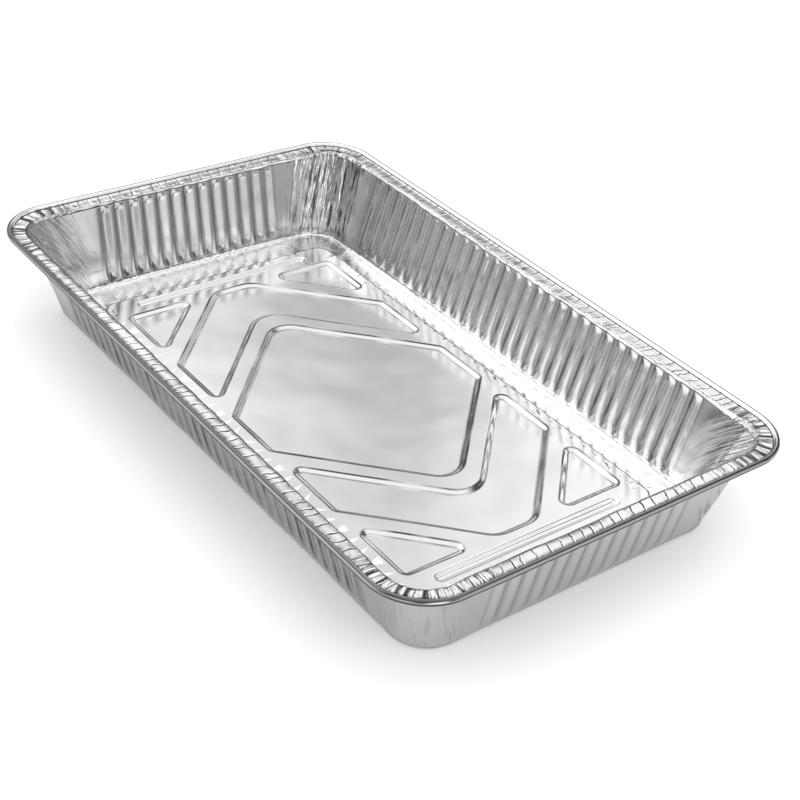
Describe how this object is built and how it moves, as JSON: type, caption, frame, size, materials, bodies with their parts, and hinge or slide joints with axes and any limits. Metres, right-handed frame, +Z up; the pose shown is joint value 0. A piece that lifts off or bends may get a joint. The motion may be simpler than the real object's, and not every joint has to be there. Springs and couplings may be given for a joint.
{
  "type": "aluminium foil tray",
  "caption": "Shallow rectangular aluminium foil tray with fluted tapered walls, an embossed floor, rounded corners and a flange with a rolled edge, for food.",
  "frame": {"origin": "centre of the tray's footprint, on the surface it stands on", "axes": "+X along the tray's length, +Y across it, +Z up out of its mouth"},
  "size_m": [0.527, 0.325, 0.07],
  "materials": {
    "foil": "bright satin foil"
  },
  "bodies": {
    "root": {"foil_tray": "foil"}
  },
  "joints": []
}
